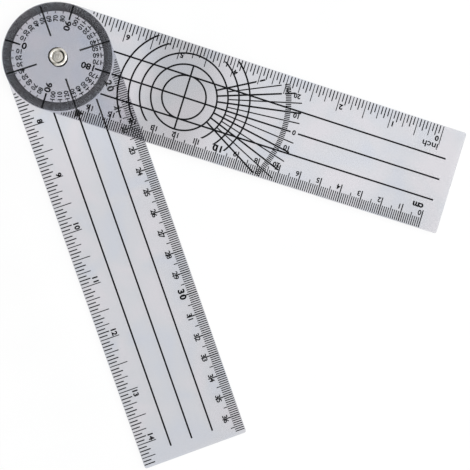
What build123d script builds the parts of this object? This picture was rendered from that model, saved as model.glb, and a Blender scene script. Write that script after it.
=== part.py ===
from build123d import *

import os
from math import asin, atan2, ceil, cos, degrees, floor, radians, sin, sqrt

# A flat two-arm goniometer of clear PVC sheet. The protractor arm lies on top and points along +X,
# the index arm lies under it and turns about one rivet. Millimetres and degrees.
# The origin is the rivet's axis at the underside of its foot, with +Z towards the reader.

# Sheets
arm_width = 49.0
arm_reach = 189.0
sheet_thickness = 1.0
corner_radius = 1.0
opening_angle = 53.8

# Rivet
post_radius = 1.95
post_running_clearance = 0.05
foot_radius = 4.1
foot_thickness = 0.6
foot_edge_chamfer = 0.4
foot_running_gap = 0.05
sheet_running_gap = 0.15
cap_radius = 4.15
cap_edge_height = 0.25
cap_rim_height = 0.85
cap_rim_width = 1.45
cap_rim_slope = 0.42
cap_groove_width = 0.35
cap_disc_height = 0.38
cap_groove_floor = 0.15
plug_radius = 1.2
plug_press = 0.01

# Ink
ink_thickness = 0.04
ink_edge_margin = 0.25
bold_line = 0.78
fine_line = 0.56
shortest_mark = 0.9

# Straight scales, read from the free end of the protractor arm
half_centimetre = 5.0
quarter_inch = 25.4 / 4
zero_margin_cm = 9.0
zero_margin_inch = 11.2
last_mark_margin = 1.0
centimetre_mark_width = 0.55
half_centimetre_mark_width = 0.42
inch_mark_width = 0.40
half_centimetre_mark_length = 6.0
centimetre_mark_length = 8.3
quarter_inch_mark_length = 6.3
half_inch_mark_length = 8.3
inch_mark_length = 8.8

# Dial, on the protractor arm's round end
dial_ring_width = 3.85
dial_tens_extra = 1.0
dial_edge_margin = 0.25
dial_mark_width = 0.31
dial_tens_width = 0.50
quadrant_line_length = 7.1
scale_dial_gap = 0.5

# Guide lines, along both arms
guide_line_spacing = 10.0
guide_start_gap = 0.4
guide_end_margin = 6.0
label_gap_length = 3.5

# Fan protractor, on the protractor arm
fan_dial_gap = 4.4
fan_ring_step = 5.0
fan_full_rings = 2
fan_arc_edge_margins = [(9.2, 3.5), (8.1, 3.2), (6.8, 1.2)]
fan_reach = 54.0
fan_label_room = 3.0
fan_labelled_rays = (0, 20)
fan_ray_step = 5
fan_ray_span = 30
fan_ray_edge_margins = (1.2, 5.5)
fan_ray_mark_gap = 0.45
fan_band_radius = 47.8
fan_band_width = 2.6
fan_band_mark_width = 0.5
fan_band_edge_margins = (0.4, 3.6)

# Index, on the other arm
index_line_start = 10.0
arrow_length = 4.0
arrow_width = 4.9
arrow_notch = 0.5

# Worked out from the sizes above
half_width = arm_width / 2
foot_top = foot_thickness
index_sheet_bottom = foot_top + foot_running_gap
index_sheet_top = index_sheet_bottom + sheet_thickness
protractor_sheet_bottom = index_sheet_top + sheet_running_gap
protractor_sheet_top = protractor_sheet_bottom + sheet_thickness
hole_radius = post_radius + post_running_clearance
dial_radius = half_width - dial_edge_margin
dial_ring_inner = dial_radius - dial_ring_width
cap_disc_radius = cap_radius - cap_rim_width - cap_groove_width
plug_depth = protractor_sheet_top - foot_top
cm_scale_zero = arm_reach - zero_margin_cm
inch_scale_zero = arm_reach - zero_margin_inch
guide_end = arm_reach - guide_end_margin
dial_clear_radius = half_width + guide_start_gap
fan_first_ring = guide_line_spacing
fan_bold_start = fan_first_ring + (fan_full_rings - 1) * fan_ring_step
fan_ring_count = fan_full_rings + len(fan_arc_edge_margins)
fan_last_ring = fan_first_ring + (fan_ring_count - 1) * fan_ring_step
fan_centre = half_width + fan_dial_gap + fan_last_ring
fan_label_reach = fan_reach - fan_label_room


def arm_sheet(bottom):
    """A flat sheet with a round end about the rivet and a square free end with eased corners."""
    strip = Pos(arm_reach / 2, 0) * Rectangle(arm_reach, arm_width)
    free_corners = strip.vertices().sort_by(Axis.X)[-2:]
    outline = fillet(free_corners, corner_radius) + Circle(half_width) - Circle(hole_radius)
    return Pos(0, 0, bottom) * extrude(outline, sheet_thickness)


def straight_line(start, end, width):
    """A printed line as a face, from one point to another."""
    (x0, y0), (x1, y1) = start, end
    length = sqrt((x1 - x0) ** 2 + (y1 - y0) ** 2)
    turn = degrees(atan2(y1 - y0, x1 - x0))
    return Pos((x0 + x1) / 2, (y0 + y1) / 2) * Rot(0, 0, turn) * Rectangle(length, width)


def radial_line(angle, inner, outer, width, centre_x=0.0):
    """A printed line that points at a centre on the arm's centre line."""
    c, s = cos(radians(angle)), sin(radians(angle))
    return straight_line((centre_x + inner * c, inner * s), (centre_x + outer * c, outer * s), width)


def printed(faces, sheet_top, already_printed=None):
    """Ink solids on a sheet's upper face, trimmed where other ink lies already."""
    solids = []
    for face in faces:
        clear = face if already_printed is None else face - already_printed
        for piece in clear.faces():
            solids.append(extrude(Pos(0, 0, sheet_top) * piece, ink_thickness))
    return solids


def clear_of_dial(x, length):
    """How much of an edge mark of this length stays outside the round dial."""
    dial_edge = half_width + scale_dial_gap
    if abs(x) >= dial_edge:
        return length
    return min(length, half_width - ink_edge_margin - sqrt(dial_edge ** 2 - x ** 2))


def edge_scale(zero, division, reach, mark_size, side, room=0.0):
    """Scale marks along one long edge, out to the reach: side is +1 for the left edge, -1 for the right.

    The zero is the place of mark 0, which may lie on the other arm. Marks are counted from it towards
    the rivet and past it, so the two arms' scales join into one when the goniometer is opened flat.
    With some room they are the marks' clearings instead, which are larger by it on every side.
    """
    faces = []
    edge = half_width - ink_edge_margin
    direction = -1 if zero > 0 else 1
    first = 0 if zero > 0 else ceil(-zero / division)
    last = floor(zero / division) if zero > 0 else floor((reach - zero) / division)
    for mark in range(first, last + 1):
        x = zero + direction * mark * division
        full_length, width = mark_size(mark)
        length = clear_of_dial(x, full_length)
        if length >= shortest_mark:
            inner_end = (x, side * (edge - length - room))
            faces.append(straight_line((x, side * (edge + room)), inner_end, width + 2 * room))
    return faces


def half_centimetre_mark(mark):
    """A mark's length and width: every second one is a whole centimetre."""
    if mark % 2 == 0:
        return centimetre_mark_length, centimetre_mark_width
    return half_centimetre_mark_length, half_centimetre_mark_width


def quarter_inch_mark(mark):
    """A mark's length and width: every fourth one is a whole inch, and every second at least a half."""
    if mark % 4 == 0:
        return inch_mark_length, inch_mark_width
    return half_inch_mark_length if mark % 2 == 0 else quarter_inch_mark_length, inch_mark_width


def guide_lines(middle_start):
    """The three lines along an arm: the outer two start at the dial, the middle one where it is told."""
    faces = [straight_line((middle_start, 0), (guide_end, 0), bold_line)]
    for y in (-guide_line_spacing, guide_line_spacing):
        start = sqrt(dial_clear_radius ** 2 - y ** 2)
        faces.append(straight_line((start, y), (guide_end, y), bold_line))
    return faces


def fan_rings():
    """Rings about the fan's centre: whole ones inside, and arcs cut off near the scales outside."""
    band = bold_line / 2
    rings = []
    for number in range(fan_ring_count):
        radius = fan_first_ring + number * fan_ring_step
        ring = Circle(radius + band) - Circle(radius - band)
        if number >= fan_full_rings:
            low_margin, high_margin = fan_arc_edge_margins[number - fan_full_rings]
            low, high = low_margin - half_width, half_width - high_margin
            ring = ring & Pos(0, (low + high) / 2) * Rectangle(3 * radius, high - low)
        rings.append(Pos(fan_centre, 0) * ring)
    return rings


def ray_reach(angle):
    """How far a ray goes: to the common reach, its label or the scale at the edge, whichever is first."""
    reach = fan_label_reach if angle in fan_labelled_rays else fan_reach
    if angle == 0:
        return reach
    low_margin, high_margin = fan_ray_edge_margins
    room = half_width - (high_margin if angle > 0 else low_margin)
    return min(reach, room / abs(sin(radians(angle))))


def fan_rays():
    """Rays every five degrees: the tens are bold and start one ring further in."""
    faces = []
    for angle in range(-fan_ray_span, fan_ray_span + 1, fan_ray_step):
        is_ten = angle % 10 == 0
        inner = fan_bold_start if is_ten else fan_bold_start + fan_ring_step
        width = bold_line if is_ten else fine_line
        faces.append(radial_line(angle, inner, ray_reach(angle), width, fan_centre))
    return faces


def fan_cross():
    """The cross through the fan's centre: the middle guide line, and one square to it."""
    return [
        straight_line((fan_centre, -fan_bold_start), (fan_centre, fan_bold_start), bold_line),
        straight_line((dial_clear_radius, 0), (fan_centre + fan_bold_start, 0), bold_line),
    ]


def fan_band():
    """One-degree marks in a narrow band across the rays, as far as the sheet is wide enough."""
    inner = fan_band_radius - fan_band_width / 2
    outer = fan_band_radius + fan_band_width / 2
    low, high = (
        floor(degrees(asin((half_width - margin) / outer))) for margin in fan_band_edge_margins
    )
    return [
        radial_line(angle, inner, outer, fan_band_mark_width, fan_centre)
        for angle in range(-low, high + 1)
    ]


def arrow_head():
    """The index arrow, its point at the dial's edge, with a hollowed back."""
    tip = half_width - ink_edge_margin - arrow_notch
    back = tip + arrow_length
    outline = Polyline(
        (tip, 0), (back, arrow_width / 2), (back - arrow_notch, 0), (back, -arrow_width / 2), close=True
    )
    return make_face(outline)


def rivet_post():
    """The lower rivet half: a foot with an eased edge and a tube that passes both sheets."""
    top = protractor_sheet_top
    foot = Cylinder(foot_radius, foot_thickness, align=(Align.CENTER, Align.CENTER, Align.MIN))
    foot = chamfer(foot.edges().group_by(Axis.Z)[0], foot_edge_chamfer)
    tube = Cylinder(post_radius, top, align=(Align.CENTER, Align.CENTER, Align.MIN))
    socket = Pos(0, 0, top) * Cylinder(
        plug_radius, plug_depth, align=(Align.CENTER, Align.CENTER, Align.MAX)
    )
    return foot + tube - socket


def rivet_cap():
    """The upper rivet half: a disc in a rolled rim, with a plug pressed into the post."""
    rim_inner = cap_radius - cap_rim_width
    rim_crest_outer = cap_radius - cap_rim_slope
    rim_crest_inner = rim_inner + cap_rim_slope
    outline = Polyline(
        (0, 0),
        (cap_radius, 0),
        (cap_radius, cap_edge_height),
        (rim_crest_outer, cap_rim_height),
        (rim_crest_inner, cap_rim_height),
        (rim_inner, cap_groove_floor),
        (cap_disc_radius, cap_disc_height),
        (0, cap_disc_height),
        close=True,
    )
    disc = revolve(Plane.XZ * make_face(outline), Axis.Z)
    plug = Cylinder(
        plug_radius + plug_press, plug_depth, align=(Align.CENTER, Align.CENTER, Align.MAX)
    )
    return Pos(0, 0, protractor_sheet_top) * (disc + plug)


def protractor_arm_prints():
    """Everything printed on the upper sheet, from the dial out to the free end."""
    top = protractor_sheet_top
    tens_inner = dial_ring_inner - dial_tens_extra
    quadrant_inner = dial_radius - quadrant_line_length
    quadrants = [radial_line(a, quadrant_inner, dial_radius, bold_line) for a in range(0, 360, 90)]
    tens = [radial_line(a, tens_inner, dial_radius, dial_tens_width) for a in range(360)
            if a % 10 == 0 and a % 90 != 0]
    singles = [radial_line(a, dial_ring_inner, dial_radius, dial_mark_width) for a in range(360)
               if a % 10 != 0]
    clearings = edge_scale(
        inch_scale_zero, quarter_inch, arm_reach, quarter_inch_mark, 1, fan_ray_mark_gap
    )
    rays = Sketch() + fan_rays() - clearings
    fan = Sketch() + fan_rings() + rays + fan_cross()
    guides = Sketch() + guide_lines(fan_centre + fan_label_reach + label_gap_length)
    lines = fan + guides
    lines_and_band = lines + fan_band()
    centimetres = edge_scale(cm_scale_zero, half_centimetre, arm_reach, half_centimetre_mark, -1)
    inches = edge_scale(inch_scale_zero, quarter_inch, arm_reach, quarter_inch_mark, 1)
    return {
        "dial_quadrant_lines": printed(quadrants, top),
        "dial_ten_degree_marks": printed(tens, top),
        "dial_degree_marks": printed(singles, top, Sketch() + quadrants + tens),
        "fan_protractor_lines": printed([fan], top),
        "fan_degree_band": printed(fan_band(), top, lines),
        "protractor_arm_guide_lines": printed([guides], top, fan),
        "protractor_arm_centimetre_marks": printed(centimetres, top, lines_and_band),
        "protractor_arm_inch_marks": printed(inches, top, lines_and_band),
    }


def index_arm_prints():
    """Everything printed on the lower sheet, drawn along +X before the arm is turned."""
    top = index_sheet_top
    reach = arm_reach - last_mark_margin
    arrow = arrow_head()
    tip_line = straight_line((index_line_start, 0), (dial_clear_radius, 0), bold_line)
    cross_reach = half_width - ink_edge_margin
    cross = [radial_line(a, index_line_start, cross_reach, bold_line) for a in (90, 180, 270)]
    centimetres = edge_scale(-cm_scale_zero, half_centimetre, reach, half_centimetre_mark, 1)
    inches = edge_scale(-inch_scale_zero, quarter_inch, reach, quarter_inch_mark, -1)
    return {
        "index_arrow": printed([Sketch() + arrow + tip_line], top),
        "index_cross_lines": printed(cross, top),
        "index_arm_guide_lines": printed(guide_lines(dial_clear_radius), top, arrow),
        "index_arm_centimetre_marks": printed(centimetres, top),
        "index_arm_inch_marks": printed(inches, top),
    }


def build():
    """Every piece by name, the index arm turned to the angle it is shown at."""
    turned = Rot(0, 0, -opening_angle)
    pieces = {
        "protractor_arm": [arm_sheet(protractor_sheet_bottom)],
        "rivet_post": [rivet_post()],
        "rivet_cap": [rivet_cap()],
        "index_arm": [turned * arm_sheet(index_sheet_bottom)],
    }
    pieces.update(protractor_arm_prints())
    for name, solids in index_arm_prints().items():
        pieces[name] = [turned * solid for solid in solids]
    return pieces


os.makedirs("parts", exist_ok=True)
for piece_name, piece_solids in build().items():
    export_step(Compound(children=piece_solids), os.path.join("parts", piece_name + ".step"))
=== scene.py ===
import logging
from abc import ABC, abstractmethod
from dataclasses import dataclass, field
from enum import Enum
from math import ceil, copysign, cos, floor, pi, radians, sin, sqrt
from typing import Any

import bmesh
import bpy
from mathutils import Matrix, Vector


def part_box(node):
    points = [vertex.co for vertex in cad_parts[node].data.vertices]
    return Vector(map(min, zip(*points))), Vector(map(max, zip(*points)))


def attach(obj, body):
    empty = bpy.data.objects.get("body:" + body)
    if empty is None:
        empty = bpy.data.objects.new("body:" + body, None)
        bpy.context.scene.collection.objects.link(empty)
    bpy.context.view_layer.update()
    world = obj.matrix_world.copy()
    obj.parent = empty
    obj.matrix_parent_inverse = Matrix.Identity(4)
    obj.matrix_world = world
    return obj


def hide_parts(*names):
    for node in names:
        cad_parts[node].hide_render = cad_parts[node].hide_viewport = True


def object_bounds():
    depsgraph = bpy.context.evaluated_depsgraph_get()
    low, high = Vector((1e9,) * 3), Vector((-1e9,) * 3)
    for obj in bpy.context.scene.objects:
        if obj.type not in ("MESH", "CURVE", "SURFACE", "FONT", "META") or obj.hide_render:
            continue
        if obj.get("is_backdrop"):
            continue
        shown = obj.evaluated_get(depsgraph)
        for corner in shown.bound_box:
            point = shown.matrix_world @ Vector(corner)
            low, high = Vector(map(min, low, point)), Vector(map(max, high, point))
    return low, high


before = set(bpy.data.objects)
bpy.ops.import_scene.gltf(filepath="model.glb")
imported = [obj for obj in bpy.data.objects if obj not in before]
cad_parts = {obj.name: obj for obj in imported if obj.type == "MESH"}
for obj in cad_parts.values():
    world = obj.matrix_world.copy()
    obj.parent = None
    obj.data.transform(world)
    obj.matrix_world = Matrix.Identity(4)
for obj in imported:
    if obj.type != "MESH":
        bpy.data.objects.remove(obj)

# A two-arm goniometer of clear PVC sheet with black print. The fields of the classes are millimetres and
# degrees, in each arm's own frame: the rivet's axis is the origin and +X runs to the arm's free end.

MM = 0.001
RIGHT_ANGLE = 90
STRAIGHT_ANGLE = 180
FULL_TURN = 360
LOG = logging.getLogger("goniometer")


class Edge(Enum):
    """The long edge that a scale stands on, as seen from the rivet: its sign is that of Y."""

    LEFT = 1
    RIGHT = -1


class Reading(Enum):
    """The way a line of print reads, as a turn from +X in the arm's own frame."""

    ALONG = 0.0
    BACK = 180.0
    ACROSS = -90.0


def linear(colour: str) -> tuple[float, float, float, float]:
    """Turns an sRGB hex colour into linear light.

    Args:
        colour: six hex digits after a hash.

    Returns:
        Red, green, blue and a full alpha.
    """
    parts = [int(colour[i:i + 2], 16) / 255 for i in (1, 3, 5)]
    # The standard's own curve: straight near black, and a power above that.
    light = [p / 12.92 if p <= 0.04045 else ((p + 0.055) / 1.055) ** 2.4 for p in parts]
    return (*light, 1.0)


def add_node(
    tree: bpy.types.NodeTree,
    kind: str,
    settings: dict[str, Any] | None = None,
    inputs: dict[str | int, Any] | None = None,
) -> bpy.types.Node:
    """Adds one node with its settings and links.

    Args:
        tree: the node tree that gets it.
        kind: the node's type name.
        settings: its own properties by name.
        inputs: by input name or number, a value, or the output socket that feeds it.

    Returns:
        The new node.
    """
    node = tree.nodes.new(kind)
    for name, value in (settings or {}).items():
        setattr(node, name, value)
    for name, value in (inputs or {}).items():
        if isinstance(value, bpy.types.NodeSocket):
            tree.links.new(value, node.inputs[name])
        else:
            node.inputs[name].default_value = value
    return node


def new_material(name: str) -> tuple[bpy.types.Material, bpy.types.NodeTree, bpy.types.Node]:
    """Makes an empty node material.

    Args:
        name: the material's name.

    Returns:
        The material, its node tree and its output node.
    """
    material = bpy.data.materials.new(name)
    material.use_nodes = True
    material.node_tree.nodes.clear()
    output = add_node(material.node_tree, "ShaderNodeOutputMaterial")
    return material, material.node_tree, output


def colour_ramp(
    tree: bpy.types.NodeTree, factor: bpy.types.NodeSocket, stops: list[tuple[float, tuple[float, ...]]]
) -> bpy.types.NodeSocket:
    """Adds a ramp through the given stops.

    Args:
        tree: the node tree that gets it.
        factor: what it reads.
        stops: places from 0 to 1 with their linear colours.

    Returns:
        The ramp's colour output.
    """
    ramp = add_node(tree, "ShaderNodeValToRGB", {}, {"Fac": factor})
    elements = ramp.color_ramp.elements
    given = len(elements)
    for index, (place, colour) in enumerate(stops):
        element = elements[index] if index < given else elements.new(place)
        element.position = place
        element.color = colour
    return ramp.outputs["Color"]


def noise(
    tree: bpy.types.NodeTree, size: float, detail: float = 3.0,
    shift: tuple[float, float, float] = (0.0, 0.0, 0.0), distortion: float = 0.0,
) -> bpy.types.NodeSocket:
    """Adds noise on Object coordinates.

    Args:
        tree: the node tree that gets it.
        size: how wide one blotch is, in millimetres.
        detail: octaves of finer noise in it.
        shift: how far the pattern is moved, in metres.
        distortion: how much the blotches swirl.

    Returns:
        The noise's value output, about 0.5 on average.
    """
    place = add_node(tree, "ShaderNodeTexCoord").outputs["Object"]
    moved = add_node(tree, "ShaderNodeMapping", {}, {"Vector": place, "Location": shift})
    texture = add_node(tree, "ShaderNodeTexNoise", {}, {
        "Vector": moved.outputs["Vector"], "Scale": 1 / (size * MM), "Detail": detail,
        "Distortion": distortion,
    })
    return texture.outputs["Fac"]


@dataclass(frozen=True)
class ClearPvcSheet:
    """Calendered clear PVC, a millimetre thick: it passes most light, a little greyed and clouded, with a
    faint milky haze and a smooth but not quite flat gloss. Some places get painted shade: the sheet is
    greyed a little by its distance from the rivet."""

    name: str
    painted_shade: tuple[tuple[float, float], ...]
    pattern_shift: tuple[float, float, float] = (0.0, 0.0, 0.0)
    cool_tint: str = "#d8dbe3"
    grey_tint: str = "#dcdde2"
    warm_tint: str = "#e1dfe4"
    tint_places: tuple[float, float, float] = (0.36, 0.50, 0.64)
    cloud_size: float = 22.0
    cloud_detail: float = 4.0
    cloud_swirl: float = 0.8
    haze_colour: str = "#d5d8de"
    haze: float = 0.01
    ripple_size: float = 9.0
    ripple_detail: float = 2.0
    ripple_height: float = 0.05
    gloss_roughness: float = 0.16
    ior: float = 1.46

    def one_face(self, colour: str) -> tuple[float, float, float, float]:
        """What one of the sheet's two faces passes, so that both together pass the colour."""
        red, green, blue, _ = linear(colour)
        return (sqrt(red), sqrt(green), sqrt(blue), 1.0)

    def paint_shade(self, tree: bpy.types.NodeTree, tint: bpy.types.NodeSocket) -> bpy.types.NodeSocket:
        """Paints shade on the sheet: greys it by its distance from the rivet.

        Args:
            tree: the material's node tree.
            tint: what one face passes.

        Returns:
            The tint times what the painted shade leaves of it.
        """
        place = add_node(tree, "ShaderNodeTexCoord").outputs["Object"]
        distance = add_node(tree, "ShaderNodeVectorMath", {"operation": "LENGTH"}, {0: place})
        furthest = self.painted_shade[-1][0]
        share = add_node(tree, "ShaderNodeMath", {"operation": "DIVIDE"}, {
            0: distance.outputs["Value"], 1: furthest * MM,
        })
        left = colour_ramp(tree, share.outputs[0], [
            (reach / furthest, (level, level, level, 1.0)) for reach, level in self.painted_shade
        ])
        painted_shade = add_node(tree, "ShaderNodeVectorMath", {"operation": "MULTIPLY"}, {0: tint, 1: left})
        return painted_shade.outputs["Vector"]

    def make(self) -> bpy.types.Material:
        """Builds the material.

        Returns:
            A tinted see-through surface under a Fresnel gloss, with a little haze in it.
        """
        material, tree, output = new_material(self.name)
        clouds = noise(tree, self.cloud_size, self.cloud_detail, self.pattern_shift, self.cloud_swirl)
        tints = (self.cool_tint, self.grey_tint, self.warm_tint)
        tint = colour_ramp(tree, clouds, [
            (place, self.one_face(colour)) for place, colour in zip(self.tint_places, tints)
        ])
        # Painted shade: the tint is greyed by its distance from the rivet.
        tint = self.paint_shade(tree, tint)
        ripple = noise(tree, self.ripple_size, self.ripple_detail, self.pattern_shift)
        bump = add_node(tree, "ShaderNodeBump", {}, {
            "Height": ripple, "Distance": self.ripple_height * MM, "Strength": 1.0,
        })
        clear = add_node(tree, "ShaderNodeBsdfTransparent", {}, {"Color": tint})
        milk = add_node(tree, "ShaderNodeBsdfDiffuse", {}, {"Color": linear(self.haze_colour)})
        body = add_node(tree, "ShaderNodeMixShader", {}, {
            "Fac": self.haze, 1: clear.outputs[0], 2: milk.outputs[0],
        })
        gloss = add_node(tree, "ShaderNodeBsdfGlossy", {}, {
            "Roughness": self.gloss_roughness, "Normal": bump.outputs["Normal"],
        })
        fresnel = add_node(tree, "ShaderNodeFresnel", {}, {
            "IOR": self.ior, "Normal": bump.outputs["Normal"],
        })
        inside = add_node(tree, "ShaderNodeNewGeometry").outputs["Backfacing"]
        outside = add_node(tree, "ShaderNodeMath", {"operation": "SUBTRACT"}, {0: 1.0, 1: inside})
        shine = add_node(tree, "ShaderNodeMath", {"operation": "MULTIPLY"}, {
            0: fresnel.outputs[0], 1: outside.outputs[0],
        })
        surface = add_node(tree, "ShaderNodeMixShader", {}, {
            "Fac": shine.outputs[0], 1: body.outputs[0], 2: gloss.outputs[0],
        })
        tree.links.new(surface.outputs[0], output.inputs["Surface"])
        return material


@dataclass(frozen=True)
class ScreenInk:
    """Screen-printed vinyl ink: a near-black matte film, a little uneven where the mesh laid it down.
    The mesh's tooth is coarser than the real one, so that it can show."""

    name: str = "screen_ink"
    dense: str = "#08090b"
    thin: str = "#131418"
    patch_size: float = 1.2
    patch_places: tuple[float, float] = (0.35, 0.65)
    tooth_size: float = 0.25
    tooth_detail: float = 1.0
    tooth_height: float = 0.006
    roughness: float = 0.6
    specular: float = 0.1

    def make(self) -> bpy.types.Material:
        """Builds the material.

        Returns:
            A dark film whose depth varies and whose surface has a fine tooth.
        """
        material, tree, output = new_material(self.name)
        depth = colour_ramp(tree, noise(tree, self.patch_size), [
            (place, linear(colour)) for place, colour in zip(self.patch_places, (self.dense, self.thin))
        ])
        bump = add_node(tree, "ShaderNodeBump", {}, {
            "Height": noise(tree, self.tooth_size, self.tooth_detail), "Distance": self.tooth_height * MM,
        })
        film = add_node(tree, "ShaderNodeBsdfPrincipled", {}, {
            "Base Color": depth, "Roughness": self.roughness,
            "Specular IOR Level": self.specular, "Normal": bump.outputs["Normal"],
        })
        tree.links.new(film.outputs[0], output.inputs["Surface"])
        return material


@dataclass(frozen=True)
class NickelPlate:
    """Bright nickel on turned brass: a pale, slightly warm mirror, dulled in patches by handling and very
    slightly uneven. The unevenness is coarser than the real one, so that it can show."""

    name: str = "polished_nickel"
    bright: str = "#dbd8d1"
    worn: str = "#c6c2b8"
    patch_size: float = 1.6
    patch_places: tuple[float, float] = (0.35, 0.6)
    smear_size: float = 2.4
    smear_detail: float = 4.0
    smear_shift: tuple[float, float, float] = (1.0, 0.0, 0.0)
    smear_span: tuple[float, float] = (0.35, 0.65)
    polish: tuple[float, float] = (0.08, 0.15)
    mark_size: float = 0.35
    mark_detail: float = 2.0
    mark_height: float = 0.004

    def make(self) -> bpy.types.Material:
        """Builds the material.

        Returns:
            A metal whose colour and polish vary in patches.
        """
        material, tree, output = new_material(self.name)
        colour = colour_ramp(tree, noise(tree, self.patch_size), [
            (place, linear(tone)) for place, tone in zip(self.patch_places, (self.worn, self.bright))
        ])
        smear = add_node(tree, "ShaderNodeMapRange", {}, {
            "Value": noise(tree, self.smear_size, self.smear_detail, self.smear_shift),
            "From Min": self.smear_span[0], "From Max": self.smear_span[1],
            "To Min": self.polish[0], "To Max": self.polish[1],
        })
        bump = add_node(tree, "ShaderNodeBump", {}, {
            "Height": noise(tree, self.mark_size, self.mark_detail), "Distance": self.mark_height * MM,
        })
        metal = add_node(tree, "ShaderNodeBsdfPrincipled", {}, {
            "Base Color": colour, "Metallic": 1.0, "Roughness": smear.outputs[0],
            "Normal": bump.outputs["Normal"],
        })
        tree.links.new(metal.outputs[0], output.inputs["Surface"])
        return material


@dataclass(frozen=True)
class StudioPaper:
    """The pale floor: white matte paper that the eye sees as white and that keeps the object's shadow."""

    name: str = "studio_paper"
    colour: str = "#f4f5f6"
    brightest: str = "#ffffff"
    patch_size: float = 40.0
    patch_places: tuple[float, float] = (0.3, 0.7)
    shown_white: float = 0.85

    def make(self) -> bpy.types.Material:
        """Builds the material.

        Returns:
            White matte paper, mostly shown as plain white where it is seen, mirrored or refracted.
        """
        material, tree, output = new_material(self.name)
        colour = colour_ramp(tree, noise(tree, self.patch_size), [
            (place, linear(tone)) for place, tone in zip(self.patch_places, (self.colour, self.brightest))
        ])
        paper = add_node(tree, "ShaderNodeBsdfDiffuse", {}, {"Color": colour})
        white = add_node(tree, "ShaderNodeEmission", {}, {"Strength": 1.0})
        rays = add_node(tree, "ShaderNodeLightPath")
        seen = add_node(tree, "ShaderNodeMath", {"operation": "MAXIMUM"}, {
            0: rays.outputs["Is Camera Ray"], 1: rays.outputs["Is Glossy Ray"],
        })
        seen = add_node(tree, "ShaderNodeMath", {"operation": "MAXIMUM"}, {
            0: seen.outputs[0], 1: rays.outputs["Is Transmission Ray"],
        })
        share = add_node(tree, "ShaderNodeMath", {"operation": "MULTIPLY"}, {
            0: seen.outputs[0], 1: self.shown_white,
        })
        mixed = add_node(tree, "ShaderNodeMixShader", {}, {
            "Fac": share.outputs[0], 1: paper.outputs[0], 2: white.outputs[0],
        })
        tree.links.new(mixed.outputs[0], output.inputs["Surface"])
        return material


@dataclass(frozen=True)
class Lettering:
    """One size and weight of print, in the plain built-in face."""

    height: float
    boldness: float = 0.0
    width: float = 1.0
    spacing: float = 1.0
    curve_steps: int = 3

    def flat(self, words: str) -> bpy.types.Mesh:
        """Sets words as a flat mesh about the origin, reading along +X.

        Args:
            words: what is printed.

        Returns:
            A mesh in metres, centred by its own box.
        """
        mesh = self._set(words)
        tall = self._extent(self._set("0"))
        scale = self.height * MM / (tall[1].y - tall[0].y)
        low, high = self._extent(mesh)
        middle = (low + high) / 2
        mesh.transform(Matrix.Diagonal((scale * self.width, scale, 1, 1)) @ Matrix.Translation(-middle))
        return mesh

    def _set(self, words: str) -> bpy.types.Mesh:
        """Sets words at the face's own size.

        Args:
            words: what is printed.

        Returns:
            A flat mesh of them.
        """
        curve = bpy.data.curves.new("lettering", "FONT")
        curve.body = words
        curve.resolution_u = self.curve_steps
        curve.offset = self.boldness
        curve.space_character = self.spacing
        setting = bpy.data.objects.new("lettering", curve)
        mesh = bpy.data.meshes.new_from_object(setting)
        bpy.data.objects.remove(setting)
        return mesh

    def _extent(self, mesh: bpy.types.Mesh) -> tuple[Vector, Vector]:
        """Measures a mesh.

        Args:
            mesh: the mesh.

        Returns:
            The lowest and the highest corner of its box.
        """
        corners = [v.co for v in mesh.vertices]
        return (
            Vector([min(c[i] for c in corners) for i in range(3)]),
            Vector([max(c[i] for c in corners) for i in range(3)]),
        )


@dataclass
class PrintPlate:
    """Collects flat print for one arm and lays it down as a thin film of ink on that arm's sheet. Its turn
    is the arm's about the rivet, and the height of the printed face is in metres."""

    turn: float
    sheet_top: float
    film: float = 0.035
    shape: bmesh.types.BMesh = field(default_factory=bmesh.new)

    @property
    def place(self) -> Matrix:
        """The move from flat about the origin to the arm's printed face."""
        return Matrix.Rotation(radians(self.turn), 4, "Z") @ Matrix.Translation((0, 0, self.sheet_top))

    def line(self, start: tuple[float, float], end: tuple[float, float], width: float) -> None:
        """Adds a straight line of ink.

        Args:
            start: where the middle of one end is.
            end: where the middle of the other end is.
            width: how wide the line is.
        """
        along = Vector((*end, 0)) - Vector((*start, 0))
        middle = (Vector((*start, 0)) + Vector((*end, 0))) / 2
        turn = Matrix.Rotation(-Vector((1, 0)).angle_signed(along.to_2d()), 4, "Z")
        size = Matrix.Diagonal((along.length * MM, width * MM, 1, 1))
        matrix = Matrix.Translation(middle * MM) @ turn @ size
        bmesh.ops.create_grid(self.shape, x_segments=1, y_segments=1, size=0.5, matrix=matrix)

    def words(self, text: str, style: Lettering, place: tuple[float, float], turn: float) -> None:
        """Adds a word or a number.

        Args:
            text: what it says.
            style: its size and weight.
            place: where its middle is.
            turn: how far its line is turned from the arm's +X.
        """
        mesh = style.flat(text)
        middle = Matrix.Translation((place[0] * MM, place[1] * MM, 0))
        mesh.transform(middle @ Matrix.Rotation(radians(turn), 4, "Z"))
        self.shape.from_mesh(mesh)
        bpy.data.meshes.remove(mesh)

    def finish(self, name: str, body: str, ink: bpy.types.Material) -> bpy.types.Object:
        """Gives the print its thickness and sets it on its sheet.

        Args:
            name: the piece's name.
            body: the body that it moves with.
            ink: its material.

        Returns:
            The finished piece.
        """
        raised = bmesh.ops.extrude_face_region(self.shape, geom=self.shape.faces[:], use_keep_orig=True)
        corners = [v for v in raised["geom"] if isinstance(v, bmesh.types.BMVert)]
        bmesh.ops.translate(self.shape, verts=corners, vec=(0, 0, self.film * MM))
        bmesh.ops.transform(self.shape, matrix=self.place, verts=self.shape.verts)
        bmesh.ops.recalc_face_normals(self.shape, faces=self.shape.faces)
        return make_piece(self.shape, name, body, ink)


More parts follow.
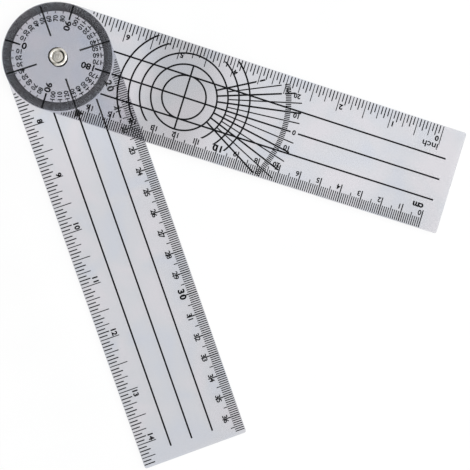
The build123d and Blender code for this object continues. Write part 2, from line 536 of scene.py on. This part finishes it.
def make_piece(
    shape: bmesh.types.BMesh, name: str, body: str, material: bpy.types.Material
) -> bpy.types.Object:
    """Turns a finished bmesh into a piece of the object.

    Args:
        shape: the mesh, in metres and in place.
        name: the piece's name.
        body: the body that it moves with.
        material: its finish.

    Returns:
        The new object.
    """
    mesh = bpy.data.meshes.new(name)
    shape.to_mesh(mesh)
    shape.free()
    mesh.materials.append(material)
    piece = bpy.data.objects.new(name, mesh)
    bpy.context.scene.collection.objects.link(piece)
    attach(piece, body)
    LOG.info("%s: %d faces on %s", name, len(mesh.polygons), body)
    return piece


def dress(nodes: tuple[str, ...], material: bpy.types.Material) -> None:
    """Gives CAD nodes their finish, in every material slot that they have.

    Args:
        nodes: the nodes' names.
        material: their finish.
    """
    for name in nodes:
        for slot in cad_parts[name].material_slots:
            slot.material = material
        LOG.info("%s: %s", name, material.name)


@dataclass
class EdgeScale:
    """A scale along one long edge of an arm, with the fine marks and numbers between the main ones."""

    edge: Edge
    zero: float
    unit: float
    parts: int
    main_every: int
    half_width: float
    reach: float
    number_inset: float
    reading: Reading
    mark_width: float
    ink_margin: float = 0.25
    dial_gap: float = 0.5
    shortest: float = 0.9

    @property
    def grows(self) -> int:
        """Which way along X the readings grow."""
        return -1 if self.zero > 0 else 1

    def at(self, reading: float) -> float:
        """Where along X a reading stands."""
        return self.zero + self.grows * reading * self.unit

    def clear_length(self, x: float, length: float) -> float:
        """Works out how much of a mark stays outside the round dial.

        Args:
            x: where the mark stands.
            length: how long it is when nothing is in its way.

        Returns:
            The length that is left, which can be less than nothing.
        """
        dial_edge = self.half_width + self.dial_gap
        if abs(x) >= dial_edge:
            return length
        return min(length, self.half_width - self.ink_margin - sqrt(dial_edge ** 2 - x ** 2))

    def readings(self) -> range:
        """Works out which of the finest divisions lie on this arm.

        Returns:
            Their numbers.
        """
        if self.grows < 0:
            return range(0, floor(self.zero / self.unit * self.parts) + 1)
        first = ceil(-self.zero / self.unit * self.parts)
        return range(first, floor((self.reach - self.zero) / self.unit * self.parts) + 1)

    def fine_marks(self, plate: PrintPlate, lengths: tuple[tuple[int, float], ...]) -> None:
        """Adds the marks that are finer than the main ones.

        Args:
            plate: the plate that gets them.
            lengths: how many of the finest divisions a mark spans and how long it is, the finest last.
        """
        outer = self.edge.value * (self.half_width - self.ink_margin)
        for division in self.readings():
            if division % self.main_every == 0:
                continue
            length = next(size for span, size in lengths if division % span == 0)
            x = self.at(division / self.parts)
            length = self.clear_length(x, length)
            if length >= self.shortest:
                plate.line((x, outer), (x, outer - self.edge.value * length), self.mark_width)

    def number(self, plate: PrintPlate, value: int, shift: float, style: Lettering) -> None:
        """Adds the number at a whole reading, unless the dial is in its way.

        Args:
            plate: the plate that gets it.
            value: the number.
            shift: how far it stands from its mark along X.
            style: its size and weight.
        """
        x = self.at(value)
        y = self.edge.value * (self.half_width - self.number_inset)
        if Vector((x, y)).length > self.half_width:
            plate.words(str(value), style, (x + shift, y), self.reading.value)


@dataclass
class Arm(ABC):
    """One sheet of the goniometer with its two straight scales. Its sign is 1 if they start at its free end
    and -1 if they end there."""

    body: str
    turn: float
    sign: int
    finish: ClearPvcSheet
    nodes: tuple[str, ...]
    centimetre_numbers: range
    inch_numbers: range
    millimetre_length: float
    inch_inset: float
    inch_shift: float
    single_digit_shift: float
    centimetre: float = 10.0
    inch: float = 25.4
    zero_centimetre: float = 180.0
    zero_inch: float = 177.8
    centimetre_inset: float = 7.05
    end_margin: float = 1.0
    millimetre_mark_width: float = 0.45
    inch_mark_width: float = 0.52
    inch_lengths: tuple[tuple[int, float], ...] = ((2, 5.1), (1, 3.8))
    plain: Lettering = Lettering(2.5, 0.03, 1.05, 1.15)
    bold: Lettering = Lettering(3.2, 0.045, 1.15, 1.15)
    inch_style: Lettering = Lettering(2.6, 0.045, 1.1)
    half_width: float = field(init=False)
    top: float = field(init=False)
    centimetres: EdgeScale = field(init=False)
    inches: EdgeScale = field(init=False)

    def __post_init__(self) -> None:
        """Reads the arm's size from the frame and lays out its two scales."""
        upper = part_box("protractor_arm")[1]
        self.half_width = upper.y / MM
        reach = upper.x / MM - self.end_margin
        self.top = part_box(self.body)[1].z
        self.centimetres = EdgeScale(
            edge=Edge(-self.sign), zero=self.sign * self.zero_centimetre, unit=self.centimetre, parts=10,
            main_every=5, half_width=self.half_width, reach=reach, number_inset=self.centimetre_inset,
            reading=self.reading, mark_width=self.millimetre_mark_width,
        )
        self.inches = EdgeScale(
            edge=Edge(self.sign), zero=self.sign * self.zero_inch, unit=self.inch, parts=16,
            main_every=4, half_width=self.half_width, reach=reach, number_inset=self.inch_inset,
            reading=self.reading, mark_width=self.inch_mark_width,
        )

    @property
    def reading(self) -> Reading:
        """The way its numbers read."""
        return Reading.BACK if self.sign > 0 else Reading.ALONG

    def plate(self) -> PrintPlate:
        """An empty print plate for this arm."""
        return PrintPlate(self.turn, self.top)

    def build(self, ink: bpy.types.Material) -> None:
        """Dresses the sheet and its print, and adds the print that the CAD nodes leave out.

        Args:
            ink: the print's material.
        """
        dress((self.body,), self.finish.make())
        dress(self.nodes, ink)
        self.print_marks(ink)
        self.print_centimetre_numbers(ink)
        self.print_inch_numbers(ink)

    def print_marks(self, ink: bpy.types.Material) -> None:
        """Lays down the millimetre marks and the sixteenths and eighths of an inch.

        Args:
            ink: their material.
        """
        plate = self.plate()
        self.centimetres.fine_marks(plate, ((1, self.millimetre_length),))
        plate.finish(self.body + "_millimetre_marks", self.body, ink)
        plate = self.plate()
        self.inches.fine_marks(plate, self.inch_lengths)
        plate.finish(self.body + "_fine_inch_marks", self.body, ink)

    def print_centimetre_numbers(self, ink: bpy.types.Material) -> None:
        """Lays down the numbers of the centimetre scale, with 10, 20 and 30 in bold.

        Args:
            ink: their material.
        """
        plate = self.plate()
        for value in self.centimetre_numbers:
            style = self.bold if value and value % 10 == 0 else self.plain
            self.centimetres.number(plate, value, self.centimetre_shift(value), style)
        self.add_centimetre_word(plate)
        plate.finish(self.body + "_centimetre_numbers", self.body, ink)

    def print_inch_numbers(self, ink: bpy.types.Material) -> None:
        """Lays down the numbers of the inch scale.

        Args:
            ink: their material.
        """
        plate = self.plate()
        for value in self.inch_numbers:
            self.inches.number(plate, value, self.shift_of_inch(value), self.inch_style)
        self.add_inch_word(plate)
        plate.finish(self.body + "_inch_numbers", self.body, ink)

    @abstractmethod
    def centimetre_shift(self, value: int) -> float:
        """How far along X a centimetre number stands from its mark."""

    @abstractmethod
    def shift_of_inch(self, value: int) -> float:
        """How far along X an inch number stands from its mark."""

    def add_centimetre_word(self, plate: PrintPlate) -> None:
        """Adds the centimetre scale's unit, where the arm has it."""

    def add_inch_word(self, plate: PrintPlate) -> None:
        """Adds the inch scale's unit, where the arm has it."""


@dataclass
class ProtractorArm(Arm):
    """The upper arm: a round dial about the rivet and a fan protractor further out."""

    body: str = "protractor_arm"
    turn: float = 0.0
    sign: int = 1
    # Painted shade: the upper sheet is greyed between the dial and the fan, and a little towards its free
    # end.
    finish: ClearPvcSheet = ClearPvcSheet("pvc_sheet_upper", painted_shade=(
        (0.0, 0.98), (36.0, 0.97), (48.0, 0.86), (66.0, 0.87), (80.0, 0.99), (150.0, 1.0), (190.0, 0.94),
    ))
    nodes: tuple[str, ...] = (
        "dial_degree_marks", "dial_quadrant_lines", "fan_protractor_lines", "fan_degree_band",
        "protractor_arm_guide_lines", "protractor_arm_centimetre_marks", "protractor_arm_inch_marks",
    )
    centimetre_numbers: range = range(0, 17)
    inch_numbers: range = range(0, 7)
    millimetre_length: float = 4.6
    inch_inset: float = 6.6
    inch_shift: float = 1.7
    single_digit_shift: float = -1.4
    cm_word: tuple[float, float] = (176.8, -14.1)
    cm_style: Lettering = Lettering(3.2, 0.05, 1.1)
    inch_word: tuple[float, float] = (173.9, 14.1)
    inch_word_style: Lettering = Lettering(3.0, 0.02, 1.2)
    dial_style: Lettering = Lettering(2.2, 0.03, 1.0)
    dial_bold: Lettering = Lettering(3.0, 0.035, 1.15)
    dial_two_digits: float = 17.1
    dial_three_digits: float = 17.5
    dial_right_angle: float = 14.4
    dial_zero: float = 15.3
    dial_straight: float = 13.8
    dial_outer_margin: float = 0.25
    dial_tens_length: float = 4.85
    dial_tens_width: float = 0.36
    fan_style: Lettering = Lettering(2.4, 0.04, 1.05)
    fan_centre: float = 58.9
    fan_labels: tuple[int, ...] = (20, 10, -10, -20)
    fan_label_reach: float = 51.8
    fan_label_turn: float = 1.5
    fan_zero_reach: float = 52.6

    def build(self, ink: bpy.types.Material) -> None:
        """Dresses and prints the arm, with its dial and its fan.

        Args:
            ink: the print's material.
        """
        super().build(ink)
        self.print_dial(ink)
        self.print_tens(ink)
        self.print_fan(ink)

    def centimetre_shift(self, value: int) -> float:
        """Single digits stand nearer to the rivet than their marks."""
        return self.single_digit_shift if value < 10 else 0.0

    def shift_of_inch(self, value: int) -> float:
        """The numbers stand beyond their marks, but zero stands before its own."""
        return -self.inch_shift if value == 0 else self.inch_shift

    def add_centimetre_word(self, plate: PrintPlate) -> None:
        """Adds the centimetre scale's unit beside its zero."""
        plate.words("cm", self.cm_style, self.cm_word, self.reading.value)

    def add_inch_word(self, plate: PrintPlate) -> None:
        """Adds the inch scale's unit beside its zero."""
        plate.words("inch", self.inch_word_style, self.inch_word, self.reading.value)

    def print_dial(self, ink: bpy.types.Material) -> None:
        """Lays down the dial's numbers: both halves count from 0 up to 180 at the free end's side.

        Args:
            ink: their material.
        """
        plate = self.plate()
        for side in (1, -1):
            for value in [n for n in range(10, STRAIGHT_ANGLE, 10) if n != RIGHT_ANGLE]:
                angle = side * (STRAIGHT_ANGLE - value)
                turn = angle if value < RIGHT_ANGLE else angle + STRAIGHT_ANGLE
                radius = self.dial_two_digits if value < 100 else self.dial_three_digits
                self.dial_number(plate, value, self.dial_style, radius, angle, turn)
            self.dial_number(
                plate, RIGHT_ANGLE, self.dial_bold, self.dial_right_angle, side * RIGHT_ANGLE,
                Reading.ACROSS.value,
            )
        self.dial_number(
            plate, 0, self.dial_bold, self.dial_zero, STRAIGHT_ANGLE, Reading.BACK.value
        )
        self.dial_number(
            plate, STRAIGHT_ANGLE, self.dial_bold, self.dial_straight, 0, Reading.BACK.value
        )
        plate.finish("dial_numbers", self.body, ink)

    def print_tens(self, ink: bpy.types.Material) -> None:
        """Lays down the ten-degree marks, fine enough to keep clear of the marks beside them.

        Args:
            ink: their material.
        """
        outer = self.half_width - self.dial_outer_margin
        inner = outer - self.dial_tens_length
        plate = self.plate()
        for angle in [a for a in range(0, FULL_TURN, 10) if a % RIGHT_ANGLE != 0]:
            c, s = cos(radians(angle)), sin(radians(angle))
            plate.line((inner * c, inner * s), (outer * c, outer * s), self.dial_tens_width)
        tens = plate.finish("dial_ten_degree_lines", self.body, ink)
        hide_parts("dial_ten_degree_marks")

    def dial_number(
        self, plate: PrintPlate, value: int, style: Lettering, radius: float, angle: float, turn: float
    ) -> None:
        """Adds one number of the dial.

        Args:
            plate: the plate that gets it.
            value: the number.
            style: its size and weight.
            radius: how far its middle is from the rivet's axis.
            angle: its direction from the rivet's axis.
            turn: how far its line is turned from the arm's +X.
        """
        place = (radius * cos(radians(angle)), radius * sin(radians(angle)))
        plate.words(str(value), style, place, turn)

    def print_fan(self, ink: bpy.types.Material) -> None:
        """Lays down the numbers at the ends of the fan's bold rays.

        Args:
            ink: their material.
        """
        plate = self.plate()
        plate.words("0", self.fan_style, (self.fan_centre + self.fan_zero_reach, 0), Reading.BACK.value)
        for angle in self.fan_labels:
            turned = radians(angle - copysign(self.fan_label_turn, angle))
            x = self.fan_centre + self.fan_label_reach * cos(turned)
            y = self.fan_label_reach * sin(turned)
            plate.words(str(abs(angle)), self.fan_style, (x, y), Reading.BACK.value)
        plate.finish("fan_numbers", self.body, ink)


@dataclass
class IndexArm(Arm):
    """The lower arm, which carries the index arrow. It is turned to the opening that the goniometer is
    shown at."""

    body: str = "index_arm"
    turn: float = -53.8
    sign: int = -1
    # Painted shade: the lower sheet is greyed a little from 30 mm out from the rivet to its free end.
    finish: ClearPvcSheet = ClearPvcSheet("pvc_sheet_lower", pattern_shift=(0.3, 0.1, 0.0), painted_shade=(
        (0.0, 1.0), (30.0, 1.0), (60.0, 0.96), (190.0, 0.94),
    ))
    nodes: tuple[str, ...] = (
        "index_arrow", "index_cross_lines", "index_arm_guide_lines", "index_arm_centimetre_marks",
        "index_arm_inch_marks",
    )
    centimetre_numbers: range = range(20, 37)
    inch_numbers: range = range(8, 15)
    millimetre_length: float = 4.3
    inch_inset: float = 7.3
    inch_shift: float = -1.9
    single_digit_shift: float = -1.0
    thirteen_shift: float = 2.3
    bold_shift: float = -0.8

    def centimetre_shift(self, value: int) -> float:
        """The bold numbers stand a little nearer to the rivet than their marks."""
        return self.bold_shift if value % 10 == 0 else 0.0

    def shift_of_inch(self, value: int) -> float:
        """Works out where an inch number stands: before its mark, except 13, which stands beyond it.

        Args:
            value: the number.

        Returns:
            How far along X it is from its mark.
        """
        if value == 13:
            return self.thirteen_shift
        return self.single_digit_shift if value < 10 else self.inch_shift


@dataclass
class Rivet:
    """The two-part tubular rivet: a head with a rolled rim, whose plug is pressed into the post."""

    body: str = "protractor_arm"
    turns: int = 128
    bead_inner: float = 2.5
    bead_height: float = 0.85
    bead_slope: float = 41.0
    bead_steps: int = 20
    disc_radius: float = 2.3
    disc_height: float = 0.42
    disc_dome: float = 0.05
    disc_steps: int = 24
    ripple: float = 0.006
    ripple_pitch: float = 0.8
    groove: tuple[float, float] = (2.38, 0.30)
    plug_radius: float = 1.2
    merge_distance: float = 0.001
    sharp_angle: float = 50.0

    def profile(self) -> list[tuple[float, float]]:
        """Works out the head's half section.

        Returns:
            Radius and height over the sheet, from the middle of the disc to the end of the plug.
        """
        low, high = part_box("rivet_cap")
        radius = high.x / MM
        depth = (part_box("protractor_arm")[1].z - low.z) / MM
        points = []
        for step in range(self.disc_steps + 1):
            r = self.disc_radius * step / self.disc_steps
            wave = self.ripple * cos(2 * pi * r / self.ripple_pitch)
            points.append((r, self.disc_height - self.disc_dome * (r / self.disc_radius) ** 2 + wave))
        points.append(self.groove)
        middle = (self.bead_inner + radius) / 2
        bend = (radius - self.bead_inner) / 2 / sin(radians(self.bead_slope))
        for step in range(self.bead_steps + 1):
            slope = radians(self.bead_slope) * (2 * step / self.bead_steps - 1)
            points.append((middle + bend * sin(slope), self.bead_height - bend * (1 - cos(slope))))
        points += [(radius, 0), (self.plug_radius, 0), (self.plug_radius, -depth), (0, -depth)]
        return points

    def build(self, nickel: bpy.types.Material) -> None:
        """Spins the head and dresses the post.

        Args:
            nickel: the finish of both.
        """
        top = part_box("protractor_arm")[1].z
        shape = bmesh.new()
        corners = [shape.verts.new((r * MM, 0, top + z * MM)) for r, z in self.profile()]
        edges = [shape.edges.new(pair) for pair in zip(corners, corners[1:])]
        bmesh.ops.spin(
            shape, geom=corners + edges, cent=(0, 0, 0), axis=(0, 0, 1), angle=2 * pi,
            steps=self.turns, use_merge=True,
        )
        bmesh.ops.remove_doubles(shape, verts=shape.verts, dist=self.merge_distance * MM)
        bmesh.ops.recalc_face_normals(shape, faces=shape.faces)
        for face in shape.faces:
            face.smooth = True
        head = make_piece(shape, "rivet_head", self.body, nickel)
        head.data.set_sharp_from_angle(angle=radians(self.sharp_angle))
        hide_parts("rivet_cap")
        dress(("rivet_post",), nickel)


@dataclass
class Studio:
    """The floor, the lights and the camera."""

    middle: tuple[float, float] = (90.0, -50.0)
    camera_place: tuple[float, float, float] = (81.36, -54.53, 285.45)
    camera_target: tuple[float, float, float] = (99.46, -52.8, 2.8)
    picture_up_angle: float = 107.176
    picture_side: int = 470
    focal_pixels: float = 620.0
    sensor: float = 36.0
    nearest: float = 10.0
    floor_side: float = 4000.0
    key_power: float = 2.0
    key_side: float = 500.0
    key_place: tuple[float, float, float] = (560.0, 170.0, 480.0)
    fill_power: float = 0.6
    fill_side: float = 400.0
    fill_place: tuple[float, float, float] = (494.0, -342.0, 480.0)
    bright_side: tuple[float, float, float] = (0.998, 0.04, 0.0)
    dark_wall: float = 0.03
    bright_wall: float = 1.4
    wall_span: tuple[float, float] = (-0.55, -0.05)
    dark_rise: tuple[float, float] = (0.05, 0.35)
    horizon_level: float = 0.06

    def camera(self) -> None:
        """Places the camera over the object, with the picture turned as the photograph is."""
        data = bpy.data.cameras.new("camera")
        data.sensor_width = self.sensor
        data.lens = self.focal_pixels / self.picture_side * self.sensor
        data.clip_start = self.nearest * MM
        camera = bpy.data.objects.new("camera", data)
        place = Vector(self.camera_place) * MM
        forward = (Vector(self.camera_target) * MM - place).normalized()
        up_hint = Vector((cos(radians(self.picture_up_angle)), sin(radians(self.picture_up_angle)), 0))
        right = forward.cross(up_hint).normalized()
        up = right.cross(forward)
        turn = Matrix((right, up, -forward)).transposed()
        camera.matrix_world = Matrix.Translation(place) @ turn.to_4x4()
        bpy.context.scene.collection.objects.link(camera)
        bpy.context.scene.camera = camera

    def floor(self, paper: bpy.types.Material) -> None:
        """Lays the floor under the rivet's foot.

        Args:
            paper: the floor's material.
        """
        shape = bmesh.new()
        low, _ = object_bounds()
        middle = Vector((self.middle[0] * MM, self.middle[1] * MM, low[2]))
        bmesh.ops.create_grid(
            shape, x_segments=1, y_segments=1, size=self.floor_side / 2 * MM,
            matrix=Matrix.Translation(middle),
        )
        mesh = bpy.data.meshes.new("floor")
        shape.to_mesh(mesh)
        shape.free()
        mesh.materials.append(paper)
        floor = bpy.data.objects.new("floor", mesh)
        bpy.context.scene.collection.objects.link(floor)
        floor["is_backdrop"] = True

    def softbox(self, name: str, place: tuple[float, float, float], side: float, power: float) -> None:
        """Hangs a square softbox that faces the middle of the object.

        Args:
            name: its name.
            place: where its middle is.
            side: how wide it is.
            power: its power in watts.
        """
        data = bpy.data.lights.new(name, "AREA")
        data.shape = "SQUARE"
        data.size = side * MM
        data.energy = power
        lamp = bpy.data.objects.new(name, data)
        spot = Vector(place) * MM
        aim = Vector((*self.middle, 0)) * MM - spot
        lamp.rotation_euler = aim.to_track_quat("-Z", "Y").to_euler()
        lamp.location = spot
        lamp.visible_camera = False
        bpy.context.scene.collection.objects.link(lamp)

    def world(self) -> None:
        """Fills the room with soft light from above, from a pale wall on one side and a dark one opposite.
        The camera itself sees plain white."""
        world = bpy.data.worlds.new("studio")
        world.use_nodes = True
        tree = world.node_tree
        tree.nodes.clear()
        heading = add_node(tree, "ShaderNodeTexCoord").outputs["Generated"]
        sideways = add_node(tree, "ShaderNodeVectorMath", {"operation": "DOT_PRODUCT"}, {
            0: heading, 1: self.bright_side,
        })
        level = add_node(tree, "ShaderNodeMapRange", {"interpolation_type": "SMOOTHSTEP"}, {
            "Value": sideways.outputs["Value"], "From Min": self.wall_span[0],
            "From Max": self.wall_span[1], "To Min": self.dark_wall, "To Max": self.bright_wall,
        })
        height = add_node(tree, "ShaderNodeSeparateXYZ", {}, {0: heading}).outputs["Z"]
        rise = add_node(tree, "ShaderNodeMapRange", {"interpolation_type": "SMOOTHSTEP"}, {
            "Value": height, "From Min": self.dark_rise[0], "From Max": self.dark_rise[1],
            "To Min": self.horizon_level, "To Max": 1.0,
        })
        strength = add_node(tree, "ShaderNodeMath", {"operation": "MULTIPLY"}, {
            0: level.outputs[0], 1: rise.outputs[0],
        })
        room = add_node(tree, "ShaderNodeBackground", {}, {"Strength": strength.outputs[0]})
        white = add_node(tree, "ShaderNodeBackground", {}, {"Strength": 1.0})
        rays = add_node(tree, "ShaderNodeLightPath")
        mixed = add_node(tree, "ShaderNodeMixShader", {}, {
            "Fac": rays.outputs["Is Camera Ray"], 1: room.outputs[0], 2: white.outputs[0],
        })
        output = add_node(tree, "ShaderNodeOutputWorld")
        tree.links.new(mixed.outputs[0], output.inputs["Surface"])
        bpy.context.scene.world = world

    def build(self) -> None:
        """Sets the whole studio up."""
        self.camera()
        self.floor(StudioPaper().make())
        self.softbox("key_softbox", self.key_place, self.key_side, self.key_power)
        self.softbox("fill_softbox", self.fill_place, self.fill_side, self.fill_power)
        self.world()
        bpy.context.scene.view_settings.view_transform = "Standard"


def main() -> None:
    """Builds the studio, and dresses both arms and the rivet."""
    logging.basicConfig(level=logging.INFO, format="%(message)s")
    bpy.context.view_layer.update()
    Studio().build()
    ink = ScreenInk().make()
    ProtractorArm().build(ink)
    IndexArm().build(ink)
    Rivet().build(NickelPlate().make())


if __name__ == "__main__":
    main()
